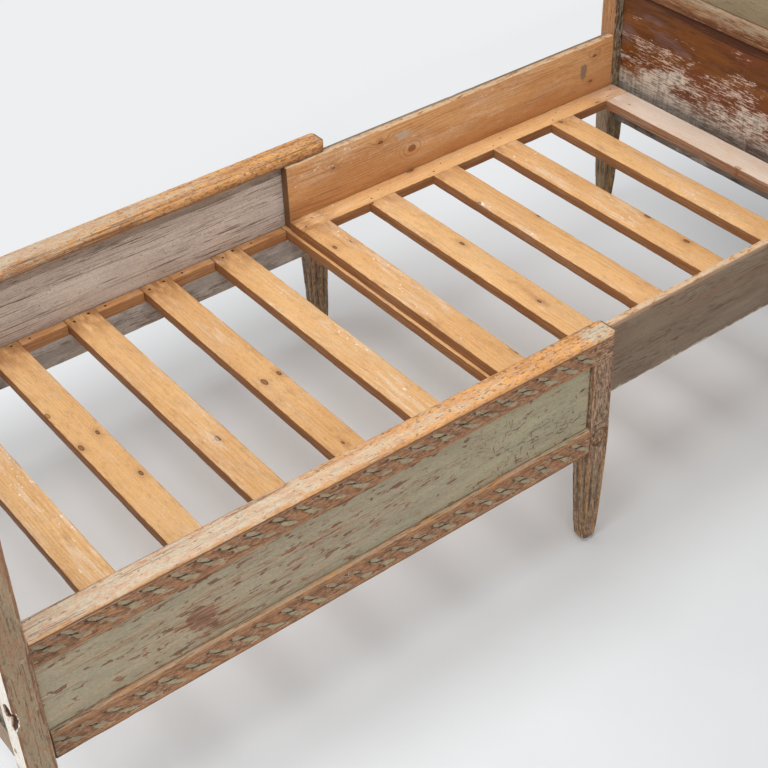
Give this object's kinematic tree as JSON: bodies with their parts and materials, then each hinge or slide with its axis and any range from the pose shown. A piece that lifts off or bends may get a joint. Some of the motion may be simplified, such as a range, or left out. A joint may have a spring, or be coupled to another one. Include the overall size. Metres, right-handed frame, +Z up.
{
  "type": "pull-out bed frame",
  "caption": "Painted wooden bed frame that pulls out to full length: carved side frames with slats, a sliding slatted half, panelled ends and fluted tapered legs.",
  "frame": {"origin": "middle of the footprint on the floor, with the bed pulled out", "axes": "+X from the foot end to the head end, +Z up"},
  "size_m": [1.909, 0.85, 0.95],
  "materials": {
    "frame_paint": "worn grey-green paint over brown wood",
    "panel_paint": "flaking grey-green paint",
    "slat_pine": "planed pine, worn",
    "board_pine": "planed pine inside, paint remains outside",
    "bleached_pine": "bleached pine",
    "peg_wood": "painted over",
    "glide": "matt"
  },
  "bodies": {
    "foot_half": {"foot_post_front": "frame_paint", "foot_post_back": "frame_paint", "foot_bottom_rail": "frame_paint", "foot_mid_rail": "frame_paint", "foot_top_rail": "frame_paint", "foot_lower_panel": "panel_paint", "foot_upper_panel": "panel_paint", "side_top_rail_front": "frame_paint", "side_top_rail_back": "frame_paint", "side_bottom_rail_front": "frame_paint", "side_bottom_rail_back": "frame_paint", "side_panel_front": "panel_paint", "side_panel_back": "panel_paint", "mid_post_front": "frame_paint", "mid_post_back": "frame_paint", "outer_slat_1": "slat_pine", "outer_slat_2": "slat_pine", "outer_slat_3": "slat_pine", "outer_slat_4": "slat_pine", "outer_slat_5": "slat_pine", "outer_slat_6": "slat_pine", "slat_spacers_front": "slat_pine", "slat_spacers_back": "slat_pine", "foot_half_pegs": "peg_wood", "foot_half_glides": "glide"},
    "head_half": {"head_post_front": "frame_paint", "head_post_back": "frame_paint", "head_bottom_rail": "frame_paint", "head_mid_rail": "frame_paint", "head_top_rail": "frame_paint", "head_lower_panel": "panel_paint", "head_upper_panel": "panel_paint", "sliding_board_front": "board_pine", "sliding_board_back": "board_pine", "slat_ledger_front": "slat_pine", "slat_ledger_back": "slat_pine", "inner_slat_1": "slat_pine", "inner_slat_2": "slat_pine", "inner_slat_3": "slat_pine", "inner_slat_4": "slat_pine", "inner_slat_5": "slat_pine", "inner_slat_6": "bleached_pine", "head_half_pegs": "peg_wood", "head_half_glides": "glide"}
  },
  "joints": [
    {"name": "pull_out", "type": "slide", "parent": "foot_half", "child": "head_half", "axis": [1, 0, 0], "range_m": [-0.762, 0]}
  ]
}
